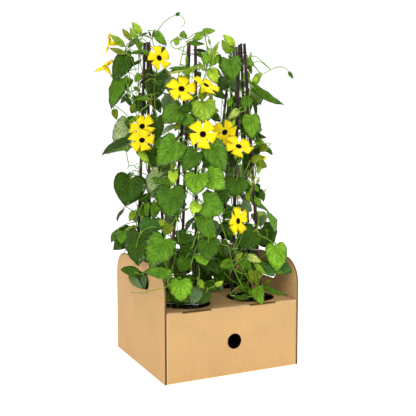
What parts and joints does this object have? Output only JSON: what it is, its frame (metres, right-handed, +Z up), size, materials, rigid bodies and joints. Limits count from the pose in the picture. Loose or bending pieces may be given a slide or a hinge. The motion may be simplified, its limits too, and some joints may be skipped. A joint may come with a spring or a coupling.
{
  "type": "potted black-eyed susan vines in a cardboard carrier",
  "caption": "Flowering twining vines on bamboo cane pyramids, potted and standing in a kraft cardboard carrier with end hand holes.",
  "frame": {"origin": "middle of the carrier's underside, on the surface it stands on", "axes": "+Z up along the canes, -Y out of the carrier's long front wall with the finger hole, +X towards the end panel at the viewer's right"},
  "size_m": [0.426, 0.3723, 0.7495],
  "materials": {
    "kraft_board": "matt uncoated kraft board",
    "pot_plastic": "thin black moulded plastic",
    "potting_mix": "loose moist peat",
    "bamboo": "dark satin cane",
    "coated_wire": "white coated wire",
    "tie_wire": "black wire",
    "foliage": "soft satin leaf",
    "petals": "soft matt petal with a dark throat"
  },
  "bodies": {
    "root": {"carton_tray": "kraft_board", "carton_deck": "kraft_board", "carton_end_left": "kraft_board", "carton_end_right": "kraft_board", "pot_front_left": "pot_plastic", "pot_front_right": "pot_plastic", "pot_back_left": "pot_plastic", "pot_back_right": "pot_plastic", "soil_front_left": "potting_mix", "soil_front_right": "potting_mix", "soil_back_left": "potting_mix", "soil_back_right": "potting_mix", "cane_front_left_1": "bamboo", "cane_front_left_2": "bamboo", "cane_front_left_3": "bamboo", "cane_front_right_1": "bamboo", "cane_front_right_2": "bamboo", "cane_front_right_3": "bamboo", "cane_back_left_1": "bamboo", "cane_back_left_2": "bamboo", "cane_back_left_3": "bamboo", "cane_back_right_1": "bamboo", "cane_back_right_2": "bamboo", "cane_back_right_3": "bamboo", "hoop_low_front_left": "coated_wire", "hoop_low_front_right": "coated_wire", "hoop_low_back_left": "coated_wire", "hoop_low_back_right": "coated_wire", "hoop_high_front_left": "coated_wire", "hoop_high_front_right": "coated_wire", "hoop_high_back_left": "coated_wire", "hoop_high_back_right": "coated_wire", "tie_front_left": "tie_wire", "tie_front_right": "tie_wire", "tie_back_left": "tie_wire", "tie_back_right": "tie_wire", "shoot_front_left_1": "foliage", "shoot_front_left_2": "foliage", "shoot_front_left_3": "foliage", "shoot_front_right_1": "foliage", "shoot_front_right_2": "foliage", "shoot_front_right_3": "foliage", "shoot_back_left_1": "foliage", "shoot_back_left_2": "foliage", "shoot_back_left_3": "foliage", "shoot_back_right_1": "foliage", "shoot_back_right_2": "foliage", "shoot_back_right_3": "foliage", "flower_top_left": "petals", "flower_upper_left": "petals", "flower_upper_middle": "petals", "flower_left_upper": "petals", "flower_left_lower": "petals", "flower_middle": "petals", "flower_middle_right": "petals", "flower_right": "petals", "flower_low_right": "petals", "flower_side_upper": "petals", "flower_side_lower": "petals", "bud_right": "petals"}
  },
  "joints": []
}
